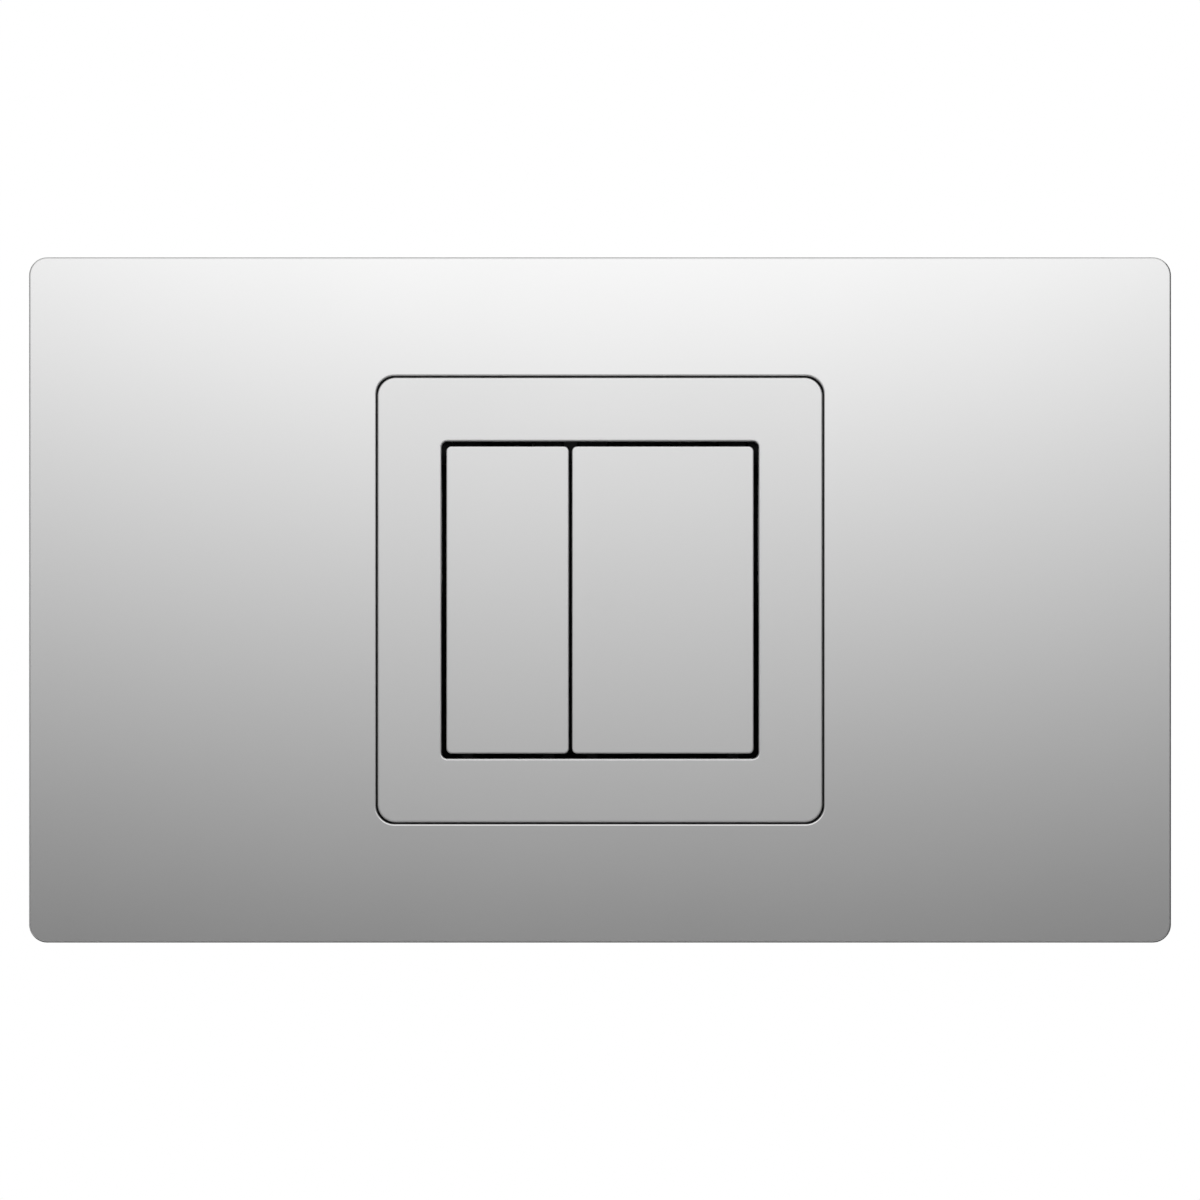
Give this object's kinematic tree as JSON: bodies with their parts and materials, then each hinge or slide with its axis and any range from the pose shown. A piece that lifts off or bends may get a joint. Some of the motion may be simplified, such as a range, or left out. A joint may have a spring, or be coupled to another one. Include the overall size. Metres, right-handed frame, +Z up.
{
  "type": "flush button plate",
  "caption": "Rectangular flush plate in satin chrome with a square frame, a narrow and a wide hinged key, sprung push rods, and a clip-on wall mounting frame.",
  "frame": {"origin": "on the wall face behind the middle of the plate", "axes": "+X right as seen from the room, +Y into the wall, +Z up"},
  "size_m": [0.25, 0.0722, 0.15],
  "materials": {
    "satin_chromed_plastic": "satin chrome plating",
    "matt_chromed_plastic": "satin chrome plating, a little duller",
    "black_plastic": "fine moulded grain",
    "grey_plastic": "moulded, matt",
    "white_acetal": "moulded, silky",
    "dark_grey_plastic": "moulded, matt",
    "stainless_steel": "drawn, bright",
    "zinc_plated_steel": "zinc plated",
    "black_rubber": "matt"
  },
  "bodies": {
    "plate": {"cover_plate": "satin_chromed_plastic", "bezel_frame": "matt_chromed_plastic", "module_carrier": "black_plastic", "carrier_screws": "zinc_plated_steel", "hinge_axle": "stainless_steel", "axle_clips": "stainless_steel", "stop_buffers": "black_rubber", "small_return_spring": "stainless_steel", "large_return_spring": "stainless_steel", "mounting_frame": "grey_plastic", "fixing_stud_left": "zinc_plated_steel", "fixing_stud_right": "zinc_plated_steel", "thumb_nut_left": "dark_grey_plastic", "thumb_nut_right": "dark_grey_plastic", "clip_upper_left": "stainless_steel", "clip_upper_right": "stainless_steel", "clip_lower_left": "stainless_steel", "clip_lower_right": "stainless_steel"},
    "small_key": {"small_key_cap": "matt_chromed_plastic", "small_rocker": "black_plastic"},
    "small_rod": {"small_plunger": "white_acetal", "small_push_rod": "white_acetal", "small_lock_nut": "dark_grey_plastic", "small_rod_tip": "black_rubber"},
    "large_key": {"large_key_cap": "matt_chromed_plastic", "large_rocker": "black_plastic"},
    "large_rod": {"large_plunger": "white_acetal", "large_push_rod": "white_acetal", "large_lock_nut": "dark_grey_plastic", "large_rod_tip": "black_rubber"}
  },
  "joints": [
    {"name": "small_key_press", "type": "hinge", "parent": "plate", "child": "small_key", "pos_m": [-0.02022, -0.0015, 0.033], "axis": [1, 0, 0], "range_deg": [0, 6], "stiffness_Nm_per_rad": 2.4, "springref_deg": -2.86},
    {"name": "small_rod_slide", "type": "slide", "parent": "plate", "child": "small_rod", "axis": [0, 1, 0], "range_m": [0, 0.0054], "deforming": ["small_return_spring"]},
    {"name": "large_key_press", "type": "hinge", "parent": "plate", "child": "large_key", "pos_m": [0.01375, -0.0015, 0.033], "axis": [1, 0, 0], "range_deg": [0, 6], "stiffness_Nm_per_rad": 2.4, "springref_deg": -2.86},
    {"name": "large_rod_slide", "type": "slide", "parent": "plate", "child": "large_rod", "axis": [0, 1, 0], "range_m": [0, 0.0054], "deforming": ["large_return_spring"]}
  ],
  "couplings": [
    {"joint": "small_rod_slide", "follows": "small_key_press", "m_per_rad": 0.0508},
    {"joint": "large_rod_slide", "follows": "large_key_press", "m_per_rad": 0.0508}
  ]
}
